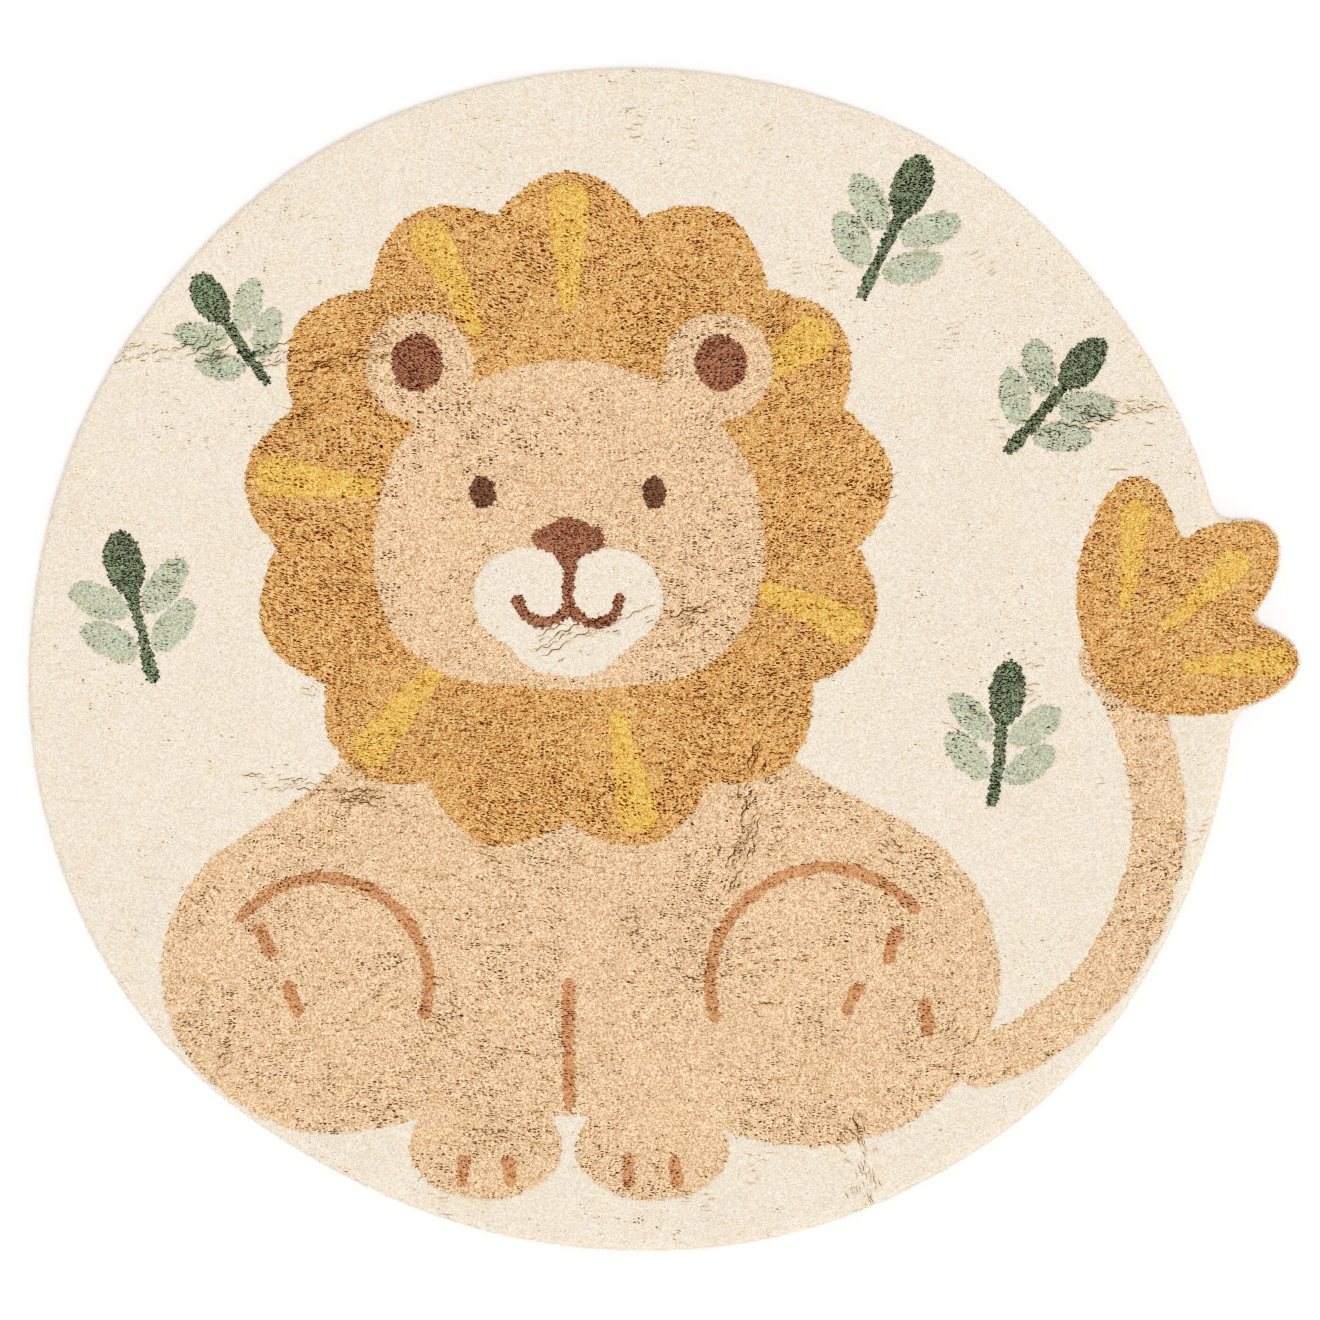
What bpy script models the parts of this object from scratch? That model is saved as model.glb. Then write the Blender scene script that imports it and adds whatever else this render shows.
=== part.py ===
"""Lion shaped kids rug: one flat, tufted cotton slab, laid out on the floor.

The rug is one piece of cloth with its pile, so it is one closed solid: a nearly
round slab with a rounded rim, whose outline bulges on the right where the tail's
tuft runs over the edge. The top is gently lumpy, with the soft troughs that the
folds have left in it, and the underside is flat where it lies on the floor.

Units are metres, +Z is up, and the origin is the middle of the rug's box at the
underside. Outline shapes are signed distances (negative inside), measured from the
centre of the round part.
"""

import math

import bmesh
import bpy
import numpy as np
from mathutils import Vector, geometry

# ---- Driving dimensions

DISC_WIDTH = 1.235
DISC_HEIGHT = 1.212
THICKNESS = 0.0140  # base cloth and pile, where the top is level

# The round edge is uneven by a few millimetres: waves round the rim, their half
# height and where each starts, in radians.
RIM_WAVES = (
    # waves, size, start
    (3, 0.0032, 2.1),
    (4, 0.0020, 4.0),
    (5, 0.0014, 0.9),
    (7, 0.0010, 5.2),
    (11, 0.0007, 1.7),
)

# The tuft at the tail's tip is three leaf-shaped lobes that fan out from one point.
TUFT_ROOT = (0.497, -0.012)
TUFT_LOBES = (
    # heading (degrees), reach of the middle, half length, half width
    (84, 0.095, 0.105, 0.052),
    (43, 0.103, 0.112, 0.056),
    (4, 0.084, 0.102, 0.050),
)
LOBE_BLEND = 0.012
DISC_BLEND = 0.020  # softens the corners where the tuft meets the round edge

# The rim, from the level top down to the floor.
RIM_PROFILE = (
    # inset from the outline, share of the top's height
    (0.0140, 1.00),
    (0.0050, 0.90),
    (0.0010, 0.62),
    (0.0000, 0.34),
    (0.0030, 0.00),
)
RIM_STEP = 0.0095  # between points along the rim
RIM_TUFT = 0.0007  # how far single tufts push the rim in or out

# Low swells of the top, from the way the pile and the cloth under it lie.
TOP_WAVES = (
    # length, heading (degrees), size, start
    (0.410, 20, 0.00040, 0.3),
    (0.270, 105, 0.00034, 1.9),
    (0.190, 62, 0.00026, 4.4),
    (0.135, 150, 0.00020, 2.7),
    (0.093, 12, 0.00014, 5.5),
)

# Troughs that old folds leave in the pile, each a slightly bowed line.
FOLDS = (
    # from x, from y, to x, to y, bow to the left, depth, half width
    (-0.545, 0.322, -0.245, 0.312, -0.006, 0.0016, 0.009),
    (0.228, -0.455, 0.240, -0.585, 0.004, 0.0012, 0.008),
    (-0.105, 0.010, 0.080, 0.048, 0.010, 0.0013, 0.008),
    (-0.395, -0.120, -0.215, -0.165, 0.008, 0.0011, 0.009),
    (0.385, 0.245, 0.545, 0.262, -0.005, 0.0009, 0.008),
    (0.095, -0.240, 0.125, -0.090, -0.006, 0.0009, 0.008),
)
FOLD_STEP = 0.024  # between the points along a fold

TOP_GRID = 0.030  # spacing of the top's points
BASE_GRID = 0.110  # spacing of the flat underside's points
GRID_MARGIN = 0.5  # of a spacing, kept free beside the rim and the folds

RUG_COLOUR = (0.87, 0.76, 0.61, 1.0)
RUG_ROUGHNESS = 0.95
SEED = 7


# ---- Outline


def ellipse(x, y, half_length, half_width, heading=0.0, centre=(0.0, 0.0)):
    """Distance to an ellipse that points along heading, in degrees."""
    c, s = math.cos(math.radians(heading)), math.sin(math.radians(heading))
    u = (x - centre[0]) * c + (y - centre[1]) * s
    v = (y - centre[1]) * c - (x - centre[0]) * s
    k = np.hypot(u / half_length, v / half_width)
    slope = np.hypot(u / half_length**2, v / half_width**2)
    return k * (k - 1.0) / np.maximum(slope, 1e-9)


def blend(a, b, width):
    """The union of two shapes with the corners between them rounded."""
    share = np.clip(0.5 + 0.5 * (b - a) / width, 0.0, 1.0)
    return b + (a - b) * share - width * share * (1.0 - share)


def disc(x, y):
    angle = np.arctan2(y / DISC_HEIGHT, x / DISC_WIDTH)
    uneven = sum(size * np.cos(waves * angle + start) for waves, size, start in RIM_WAVES)
    return ellipse(x, y, DISC_WIDTH / 2, DISC_HEIGHT / 2) - uneven


def tuft(x, y):
    lobes = []
    for heading, reach, half_length, half_width in TUFT_LOBES:
        turn = math.radians(heading)
        middle = (
            TUFT_ROOT[0] + reach * math.cos(turn),
            TUFT_ROOT[1] + reach * math.sin(turn),
        )
        lobes.append(ellipse(x, y, half_length, half_width, heading, middle))
    shape = lobes[0]
    for lobe in lobes[1:]:
        shape = blend(shape, lobe, LOBE_BLEND)
    return shape


def outline(x, y):
    return blend(disc(x, y), tuft(x, y), DISC_BLEND)


def outline_points(count):
    """Points on the outline, evenly spaced along it, counter-clockwise."""
    angles = np.linspace(0.0, 2 * math.pi, 4 * count, endpoint=False)
    near = np.full(len(angles), 0.25 * DISC_WIDTH)
    far = np.full(len(angles), DISC_WIDTH)
    for _ in range(40):
        middle = (near + far) / 2
        inside = outline(middle * np.cos(angles), middle * np.sin(angles)) < 0
        near, far = np.where(inside, middle, near), np.where(inside, far, middle)
    loop = np.stack([near * np.cos(angles), near * np.sin(angles)], 1)
    loop = np.vstack([loop, loop[:1]])
    along = np.concatenate([[0.0], np.cumsum(np.hypot(*np.diff(loop, axis=0).T))])
    wanted = np.linspace(0.0, along[-1], count, endpoint=False)
    return np.stack([np.interp(wanted, along, loop[:, k]) for k in range(2)], 1)


def inset(points, distance):
    """The points moved inwards, square to the outline."""
    step = 1e-4
    x, y = points.T
    slope = np.stack(
        [
            outline(x + step, y) - outline(x - step, y),
            outline(x, y + step) - outline(x, y - step),
        ],
        1,
    )
    slope /= np.linalg.norm(slope, axis=1, keepdims=True)
    return points - slope * distance


# ---- Top


def fold_frame(fold, x, y):
    """How far along a fold, as a share of its length, and how far off its line."""
    x0, y0, x1, y1, bow = fold[:5]
    length = math.hypot(x1 - x0, y1 - y0)
    ux, uy = (x1 - x0) / length, (y1 - y0) / length
    along = ((x - x0) * ux + (y - y0) * uy) / length
    off = (y - y0) * ux - (x - x0) * uy
    return along, off - bow * 4 * along * (1 - along)


def top_height(x, y):
    """Height of the lumpy top at a place away from the rim."""
    height = np.full(np.shape(x), THICKNESS)
    for length, heading, size, start in TOP_WAVES:
        turn = math.radians(heading)
        phase = 2 * math.pi * (x * math.cos(turn) + y * math.sin(turn)) / length
        height += size * np.sin(phase + start)
    for fold in FOLDS:
        depth, half_width = fold[5:]
        along, off = fold_frame(fold, x, y)
        fade = np.clip(4.0 * along * (1.0 - along), 0.0, 1.0) ** 0.5
        height -= depth * fade * np.exp(-((off / half_width) ** 2))
    return height


def fold_points():
    """Rows of points on each fold's line and on both of its shoulders."""
    rows = []
    for fold in FOLDS:
        x0, y0, x1, y1, bow = fold[:5]
        length = math.hypot(x1 - x0, y1 - y0)
        across = np.array([-(y1 - y0), x1 - x0]) / length
        for along in np.linspace(0.0, 1.0, max(3, round(length / FOLD_STEP))):
            line = np.array([x0 + (x1 - x0) * along, y0 + (y1 - y0) * along])
            line += across * bow * 4 * along * (1 - along)
            for side in (-1, 0, 1):
                rows.append(line + across * side * 1.4 * fold[6])
    return np.array(rows)


def grid_points(spacing, keep_off):
    """A hexagonal grid inside the outline, keep_off away from it."""
    columns = np.arange(-DISC_WIDTH, DISC_WIDTH, spacing)
    lines = np.arange(-DISC_HEIGHT, DISC_HEIGHT, spacing * math.sqrt(3) / 2)
    x, y = np.meshgrid(columns, lines)
    x = x + np.where(np.arange(len(lines)) % 2, spacing / 2, 0.0)[:, None]
    points = np.stack([x.ravel(), y.ravel()], 1)
    return points[outline(*points.T) < -keep_off]


def top_points():
    """The points inside the top: the folds' own, and a grid between them."""
    folds = fold_points()
    rim = RIM_PROFILE[0][0]
    folds = folds[outline(*folds.T) < -(rim + GRID_MARGIN * FOLD_STEP)]
    grid = grid_points(TOP_GRID, rim + GRID_MARGIN * TOP_GRID)
    apart = np.linalg.norm(grid[:, None] - folds[None], axis=2).min(1)
    return np.vstack([folds, grid[apart > GRID_MARGIN * TOP_GRID]])


# ---- Solid


def patch(mesh, ring, inner):
    """Triangles between a ring of points and the points inside it, in the plane."""
    flat = [Vector(point) for point in np.vstack([ring, inner])]
    edges = [(k, (k + 1) % len(ring)) for k in range(len(ring))]
    within_the_ring = 1
    found = geometry.delaunay_2d_cdt(flat, edges, [], within_the_ring, 1e-7)
    corners = [mesh.verts.new((*point, 0.0)) for point in found[0]]
    for face in found[2]:
        mesh.faces.new([corners[k] for k in face])
    return corners


def make_rug():
    rng = np.random.default_rng(SEED)
    rough_loop = outline_points(1000)
    perimeter = np.hypot(*(rough_loop - np.roll(rough_loop, 1, axis=0)).T).sum()
    edge = outline_points(round(perimeter / RIM_STEP))
    edge = inset(edge, rng.uniform(-RIM_TUFT, RIM_TUFT, len(edge))[:, None])
    middle = (edge.min(0) + edge.max(0)) / 2

    rings = [inset(edge, row[0]) for row in RIM_PROFILE]
    mesh = bmesh.new()
    ring_place = mesh.verts.layers.int.new("place_on_ring")

    # The top, lifted to its height, with its rim points numbered round the ring.
    for vertex in patch(mesh, rings[0], top_points()):
        x, y = vertex.co.xy
        vertex.co.z = float(top_height(x, y))
    loose = [vertex for vertex in mesh.verts if vertex.is_boundary]
    for vertex in loose:
        gap = np.linalg.norm(rings[0] - np.array(vertex.co.xy), axis=1)
        vertex[ring_place] = int(gap.argmin())

    # The rim, drawn out ring by ring down to the floor.
    for ring, (_, share) in zip(rings[1:], RIM_PROFILE[1:]):
        border = [e for e in mesh.edges if e.is_boundary]
        new = bmesh.ops.extrude_edge_only(mesh, edges=border)["geom"]
        for vertex in (g for g in new if isinstance(g, bmesh.types.BMVert)):
            x, y = ring[vertex[ring_place]]
            vertex.co = (x, y, share * float(top_height(x, y)))

    # The flat underside, welded to the rim's lowest ring.
    patch(mesh, rings[-1], grid_points(BASE_GRID, GRID_MARGIN * BASE_GRID))
    bmesh.ops.remove_doubles(mesh, verts=mesh.verts, dist=1e-6)
    bmesh.ops.triangulate(mesh, faces=mesh.faces)
    bmesh.ops.recalc_face_normals(mesh, faces=mesh.faces)
    bmesh.ops.translate(mesh, verts=mesh.verts, vec=(-middle[0], -middle[1], 0.0))

    data = bpy.data.meshes.new("rug")
    mesh.to_mesh(data)
    mesh.free()
    data.shade_smooth()
    data.set_sharp_from_angle(angle=math.radians(50))
    data.materials.append(cotton())
    return bpy.data.objects.new("rug", data)


def cotton():
    material = bpy.data.materials.new("cotton_pile")
    material.use_nodes = True
    surface = material.node_tree.nodes["Principled BSDF"]
    surface.inputs["Base Color"].default_value = RUG_COLOUR
    surface.inputs["Roughness"].default_value = RUG_ROUGHNESS
    surface.inputs["Metallic"].default_value = 0.0
    return material


def main():
    for thing in list(bpy.data.objects):
        bpy.data.objects.remove(thing, do_unlink=True)
    parts = bpy.data.collections.new("lion_shaped_kids_rug")
    bpy.context.scene.collection.children.link(parts)
    parts.objects.link(make_rug())


main()
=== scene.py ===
"""Lion shaped kids rug, dressed: a short cut cotton pile on a woven base cloth.

The pile is one lattice of some 150 000 tufts. Each tuft is a small fan of six
triangles, from its tip down to the six corners that it shares with its neighbours.
A signed distance (negative inside) says which yarn a tuft has, and each yarn is a
piece of its own. Tufts lean together in clumps, and some of the borders between
clumps are open partings in the pile. Cracks lie along old folds, in small groups and
in rows along the nap: the pile sinks there, and the material paints their thin dark
lines as shade, as it paints shade deep in the gaps between tufts. Loose ends of yarn
stand off the rim.

Units are metres. The shapes are written in rug coordinates, measured from the centre
of the round part, and moved by MIDDLE into the frame, whose origin is the middle of
the rug's box at the underside.
"""

import math
from collections import namedtuple

import bpy
import numpy as np
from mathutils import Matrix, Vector


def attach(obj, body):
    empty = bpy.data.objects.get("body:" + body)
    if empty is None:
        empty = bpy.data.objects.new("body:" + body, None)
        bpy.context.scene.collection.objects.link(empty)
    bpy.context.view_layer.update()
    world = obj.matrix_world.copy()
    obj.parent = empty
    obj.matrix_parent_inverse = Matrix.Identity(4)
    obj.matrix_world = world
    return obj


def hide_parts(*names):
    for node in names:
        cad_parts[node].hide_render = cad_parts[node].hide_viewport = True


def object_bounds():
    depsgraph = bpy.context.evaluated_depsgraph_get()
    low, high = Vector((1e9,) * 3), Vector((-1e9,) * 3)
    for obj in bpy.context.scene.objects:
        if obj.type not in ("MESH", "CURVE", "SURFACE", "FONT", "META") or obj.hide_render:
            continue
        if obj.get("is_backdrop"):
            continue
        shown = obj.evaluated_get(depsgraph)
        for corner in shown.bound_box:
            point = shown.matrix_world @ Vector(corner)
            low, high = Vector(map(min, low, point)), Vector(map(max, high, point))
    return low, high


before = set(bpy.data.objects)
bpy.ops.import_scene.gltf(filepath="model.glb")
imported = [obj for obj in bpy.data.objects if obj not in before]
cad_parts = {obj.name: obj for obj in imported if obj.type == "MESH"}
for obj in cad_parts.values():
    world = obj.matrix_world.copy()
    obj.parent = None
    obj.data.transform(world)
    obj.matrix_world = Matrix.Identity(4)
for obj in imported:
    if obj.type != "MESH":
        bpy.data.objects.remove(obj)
cad_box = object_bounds()

# ---- The rug's form, as in the part's source

DISC_WIDTH = 1.235
DISC_HEIGHT = 1.212
THICKNESS = 0.0140
RIM_WAVES = (
    # waves, size, start
    (3, 0.0032, 2.1),
    (4, 0.0020, 4.0),
    (5, 0.0014, 0.9),
    (7, 0.0010, 5.2),
    (11, 0.0007, 1.7),
)
TUFT_ROOT = (0.497, -0.012)
TUFT_LOBES = (
    # heading (degrees), reach of the middle, half length, half width
    (84, 0.095, 0.105, 0.052),
    (43, 0.103, 0.112, 0.056),
    (4, 0.084, 0.102, 0.050),
)
LOBE_BLEND = 0.012
DISC_BLEND = 0.020
RIM_PROFILE = (
    # inset from the outline, share of the top's height
    (0.0140, 1.00),
    (0.0050, 0.90),
    (0.0010, 0.62),
    (0.0000, 0.34),
    (0.0030, 0.00),
)
TOP_WAVES = (
    # length, heading (degrees), size, start
    (0.410, 20, 0.00040, 0.3),
    (0.270, 105, 0.00034, 1.9),
    (0.190, 62, 0.00026, 4.4),
    (0.135, 150, 0.00020, 2.7),
    (0.093, 12, 0.00014, 5.5),
)
FOLDS = (
    # from x, from y, to x, to y, bow to the left, depth, half width
    (-0.545, 0.322, -0.245, 0.312, -0.006, 0.0016, 0.009),
    (0.228, -0.455, 0.240, -0.585, 0.004, 0.0012, 0.008),
    (-0.105, 0.010, 0.080, 0.048, 0.010, 0.0013, 0.008),
    (-0.395, -0.120, -0.215, -0.165, 0.008, 0.0011, 0.009),
    (0.385, 0.245, 0.545, 0.262, -0.005, 0.0009, 0.008),
    (0.095, -0.240, 0.125, -0.090, -0.006, 0.0009, 0.008),
)

# ---- The lion, a plain one seen from the front

HEAD = (-0.065, 0.150)
MANE_RADIUS = 0.320
MANE_STRETCH = 1.05  # height for width
MANE_LOBES = 13
LOBE_DIP, LOBE_RISE = 0.022, 0.034
PETAL_FROM, PETAL_INSET = 0.205, 0.020  # from the head's middle, and from the mane's edge
TRUNK = (
    # body and haunches: middle to the side of the head's, its y, half length, half width
    (0.000, -0.245, 0.300, 0.220),
    (0.245, -0.318, 0.195, 0.178),
    (-0.235, -0.318, 0.180, 0.165),
)
PAWS_X = (-0.150, 0.020)
PAWS_Y = -0.500
LINE, TOE_LINE, MARK_LINE = 0.0058, 0.0062, 0.0066  # half widths of the thin lines
MARK_LENGTH = 0.026
FUR_MARKS = (
    # x, y, heading (degrees)
    (0.265, -0.290, 70), (0.225, -0.345, 60), (0.300, -0.365, 95),
    (-0.345, -0.345, 110), (-0.375, -0.285, 120),
)
SPRIGS = (
    # x, y, turn (degrees), size
    (-0.505, 0.045, 14, 1.00),
    (-0.405, 0.330, 34, 0.85),
    (0.262, 0.432, -24, 1.00),
    (0.425, 0.262, -40, 0.95),
    (0.375, -0.085, -8, 0.95),
)

# ---- The pile

LATTICE_HALF = (0.72, 0.66)  # half length and half height of the lattice, before it is cut
SPACING = 0.00308  # between tufts
TUFT_JITTER = 0.24  # of a spacing
CORNER_JITTER = 0.10
# Random layers, each (length, size, seed): of bends in the rows of tufts, of the lean,
# of the borders between yarns, of the nap, of where the pile parts, and of where its
# small gaps are.
ROW_BENDS = ((0.110, 0.0040, 41), (0.045, 0.0016, 41))
LEANS = ((0.060, 1.0, 61), (0.014, 0.7, 63))
EDGE_WOBBLE = ((0.034, 0.0016, 50), (0.011, 0.0008, 50))
COMB_BENDS = ((0.260, 0.042, 21), (0.095, 0.0115, 23), (0.034, 0.0030, 25))
PARTING_LAYERS = ((0.060, 0.6, 31), (0.022, 0.35, 32))
STIR_LAYERS = ((0.055, 1.0, 81), (0.021, 0.6, 82))
TIP_NOISE = 0.00030  # up and down
TIP_SCATTER = 0.00025  # to the sides
LEAN = 0.0009
LOWEST_CORNER, LOWEST_TIP, LOWEST_FIBRE = 0.0010, 0.0012, 0.0006
RIM_FREE = 0.0140  # inset at which the top starts to turn down to the rim
PROFILE_SOFT = 0.0022  # half the run over which the rim's direction is smoothed
CLUMP = 0.0046  # between clumps
CLUMP_STRETCH = (1.5, 3.4)  # length for width
CLUMP_TURN = 0.35  # off the nap, radians
PARTING_REACH = 0.00120  # corners this near a parting drop into it
PARTING_DEPTH = 0.0030
FOLD_CRACKS = (
    # pace along the fold, spread to its sides, shortest, longest
    (0.0100, 0.0050, 0.012, 0.042),
    (0.0050, 0.0090, 0.003, 0.010),
)
FOLD_SLANT = 0.24  # of the cracks against the fold, radians
CRACK_GROUPS, CRACK_ROWS = 330, 170
CRACK_REACH = 0.60  # groups and rows start this far from the centre at most
CRACK_WIDTHS = (1.45, 1.0, 0.85)  # of the painted dark lines of shade, in folds, groups and rows
DRAWN_REACH = 0.0032  # a tuft this near a crack paints its dark line of shade
FIBRES = 9000  # that stand off the rim
FIBRE_ZONE = (-0.0040, 0.0060)  # where, in the flat pattern, from the outline outwards
FIBRE_LENGTH = (0.0008, 0.0034)
FIBRE_ROOT, FIBRE_HALF = 0.0010, 0.00026  # depth and half width of the foot
FIBRE_SPREAD = 0.38
FIBRE_GAP_SHADE = (0.2, 0.2, 0.2, 0.0)  # how deep in the pile each of its points is, which the material paints as shade
SPIKE = np.array([(0, 2, 1), (0, 1, 3), (1, 2, 3), (2, 0, 3)])  # points: foot, foot, foot, end
REACH = 0.75  # the random fields cover this far from the centre
SEED = 11

# Each yarn: linear colours of a tuft's tip and of the painted shade deep in the gaps round it,
# relief of the tufts, share of open partings, unevenness of the grain, how many
# small gaps there are, from 0 to 1, and slot.
Yarn = namedtuple("Yarn", "tip gap relief ruffle grain pitted slot")
YARNS = {
    "cream": Yarn(
        (0.778, 0.688, 0.586), (0.400, 0.280, 0.142), 0.00036, 0.10, 0.38, 0.06, "pile_cream"),
    "tan": Yarn(
        (0.770, 0.532, 0.347), (0.205, 0.100, 0.0235), 0.00068, 0.24, 1.05, 0.50, "pile_tan"),
    "camel": Yarn(
        (0.720, 0.410, 0.152), (0.219, 0.047, 0.0014), 0.00085, 0.36, 1.50, 0.77, "pile_camel"),
    "mustard": Yarn(
        (0.772, 0.480, 0.118), (0.293, 0.095, 0.0020), 0.00080, 0.30, 1.10, 0.58, "pile_mustard"),
    "rust": Yarn(
        (0.630, 0.305, 0.143), (0.160, 0.043, 0.009), 0.00085, 0.30, 1.05, 0.70, "pile_rust"),
    "brown": Yarn(
        (0.380, 0.157, 0.088), (0.073, 0.007, 0.0015), 0.00100, 0.40, 2.00, 0.94, "pile_brown"),
    "dark": Yarn(
        (0.205, 0.086, 0.046), (0.039, 0.008, 0.0026), 0.00100, 0.30, 1.80, 0.85, "pile_brown"),
    "sage": Yarn(
        (0.525, 0.540, 0.414), (0.110, 0.120, 0.073), 0.00075, 0.26, 0.80, 0.52, "pile_sage"),
    "green": Yarn(
        (0.194, 0.226, 0.144), (0.0096, 0.013, 0.0038), 0.00100, 0.40, 2.40, 0.96, "pile_green"),
}
YARN_NAMES = list(YARNS)
SPLIT = {"cream": 3, "tan": 2}  # large yarns are more pieces than one

# ---- Looks: scales are cells a metre

DULL = {"Roughness": 0.9, "Metallic": 0.0, "Specular IOR Level": 0.08}
WHITE = (1.0, 1.0, 1.0)
YARN_NOISES = ((1100.0, 2.0), (380.0, 2.0), (9.0, 3.0))  # fibres, flecks, clouds: scale, detail
END_SCALE = 720.0  # ends of fibres
HUE_SCALE, HUE_RANGE, HUE_SHIFT = 42.0, (0.38, 0.68), (1.0, 0.985, 0.94)
GAP_CELLS = (190.0, 560.0)  # small gaps, painted as dark shade, along and across the nap
GAP_BEND_SCALE, GAP_BENDS = 260.0, (0.9, 1.5, 0.0)
GAP_PATCHES = (70.0, 95.0)  # patches of them, along and across the nap
PATCH_WEIGHT, STIR_WEIGHT = 1.5, 0.46
GAP_CHANCE = (2.04, 2.70)  # fewest and most small gaps, before a yarn's share is taken off
GAP_RADIUS, GAP_GROWTH, GAP_EDGE = 0.225, 0.13, 0.05
DEEPEST_SHADE = 0.68  # painted shade: what the darkest gaps and cracks lose of the gap colour's light
CRACK_EDGE = (-0.14, 0.10)  # millimetres inside a crack's width, where its painted line of shade darkens
GLOW_EDGE, GLOW_TINT = (-1.5, 0.2), (0.97, 0.90, 0.76)
BRIGHT_RED, BRIGHT_BLUE = -0.2, -0.5  # bright fibres get paler by these powers

# ---- The base cloth

BASE_THICKNESS = 0.0022
BASE_INSET = 0.0030
BASE_POINTS = 900  # round its edge
BASE_RINGS = (1.0, 0.75, 0.5, 0.25)  # of points, as shares of the edge's distance
THREAD_PITCH = 0.0017
CLOTH_COLOUR = (0.80, 0.72, 0.58)

# ---- The stage

FLOOR_TONE = 0.75
FLOOR_GLOW = 0.15  # a lit floor, as under a packshot, so that hardly any shadow shows
FLOOR_Z = -0.0004
FLOOR_HALF = 6.0
SKY_OVERHEAD, SKY_SIDES = 0.43, 2.30  # strengths
SUN_TOWARDS = (0.16, -0.20, 0.95)
SUN_SPREAD = 50.0  # degrees
SUN_STRENGTH = 1.46
VIEW_WIDTH = 1.3464
VIEW_CENTRE = (-0.0046, -0.0010)
SENSOR, LENS = 36.0, 85.0  # millimetres


# ---- Signed distances


def direction(heading):
    """The unit vector of a heading in degrees."""
    return math.cos(math.radians(heading)), math.sin(math.radians(heading))


def along_heading(start, heading, length):
    c, s = direction(heading)
    return start[0] + length * c, start[1] + length * s


def turned(x, y, centre, heading):
    """Coordinates along a heading, in degrees, and to its left, from a centre."""
    c, s = direction(heading)
    x, y = x - centre[0], y - centre[1]
    return x * c + y * s, y * c - x * s


def ellipse(x, y, half_length, half_width, heading=0.0, centre=(0.0, 0.0)):
    u, v = turned(x, y, centre, heading)
    k = np.hypot(u / half_length, v / half_width)
    slope = np.hypot(u / half_length**2, v / half_width**2)
    return k * (k - 1.0) / np.maximum(slope, 1e-9)


def stroke(x, y, start, end, half_start, half_end=None):
    """A straight brush mark with round ends."""
    half_end = half_start if half_end is None else half_end
    dx, dy = end[0] - start[0], end[1] - start[1]
    along = ((x - start[0]) * dx + (y - start[1]) * dy) / (dx * dx + dy * dy)
    along = np.clip(along, 0.0, 1.0)
    off = np.hypot(x - start[0] - along * dx, y - start[1] - along * dy)
    return off - (half_start + (half_end - half_start) * along)


def bow(x, y, centre, radius, first, last, half):
    """Part of a ring, from one heading to another, in degrees, with round ends."""
    middle = math.radians((first + last) / 2)
    half_span = math.radians((last - first) / 2)
    heading = np.arctan2(y - centre[1], x - centre[0])
    off = np.abs((heading - middle + math.pi) % (2 * math.pi) - math.pi)
    ring = np.abs(np.hypot(x - centre[0], y - centre[1]) - radius)
    ends = [np.hypot(x - end[0], y - end[1])
            for end in (along_heading(centre, turn, radius) for turn in (first, last))]
    return np.where(off <= half_span, ring, union(ends)) - half


def union(shapes):
    return np.minimum.reduce(shapes)


def blend(shapes, width):
    """The union of shapes with the corners between them rounded."""
    joined = shapes[0]
    for shape in shapes[1:]:
        share = np.clip(0.5 + 0.5 * (shape - joined) / width, 0.0, 1.0)
        joined = shape + (joined - shape) * share - width * share * (1.0 - share)
    return joined


def disc(x, y):
    angle = np.arctan2(y / DISC_HEIGHT, x / DISC_WIDTH)
    uneven = sum(size * np.cos(waves * angle + start) for waves, size, start in RIM_WAVES)
    return ellipse(x, y, DISC_WIDTH / 2, DISC_HEIGHT / 2) - uneven


def tuft(x, y):
    return blend([
        ellipse(x, y, half_length, half_width, heading, along_heading(TUFT_ROOT, heading, reach))
        for heading, reach, half_length, half_width in TUFT_LOBES
    ], LOBE_BLEND)


def outline(x, y):
    return blend([disc(x, y), tuft(x, y)], DISC_BLEND)


# ---- The picture, back to front


def sprigs(x, y):
    """The pale leaves and the dark middle leaves of the sprigs."""
    pale, dark = [], []
    for sx, sy, turn, size in SPRIGS:
        u, v = turned(x, y, (sx, sy), turn)
        u, v = u / size, v / size
        dark.append(stroke(u, v, (0, -0.064), (0, 0.03), 0.0062) * size)
        dark.append(ellipse(u, v, 0.020, 0.034, 0, (0, 0.056)) * size)
        for side in (-1, 1):
            for height in (-0.018, 0.024):
                leaf = ellipse(u, v, 0.032, 0.0165, side * 40, (side * 0.034, height))
                pale.append(leaf * size)
    return union(pale), union(dark)


def tuft_streaks(x, y):
    return union([
        stroke(x, y, along_heading(TUFT_ROOT, heading, 0.070),
               along_heading(TUFT_ROOT, heading, 0.160), 0.007, 0.016)
        for heading, *_ in TUFT_LOBES
    ])


def body(x, y):
    trunk = blend([ellipse(x, y, half_length, half_width, 0, (HEAD[0] + dx, middle))
                   for dx, middle, half_length, half_width in TRUNK], 0.05)
    legs = [blend([stroke(x, y, (px, -0.28), (px, PAWS_Y + 0.02), 0.058, 0.064),
                   ellipse(x, y, 0.078, 0.048, 0, (px, PAWS_Y))], 0.02)
            for px in PAWS_X]
    return union([trunk, *legs])


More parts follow.
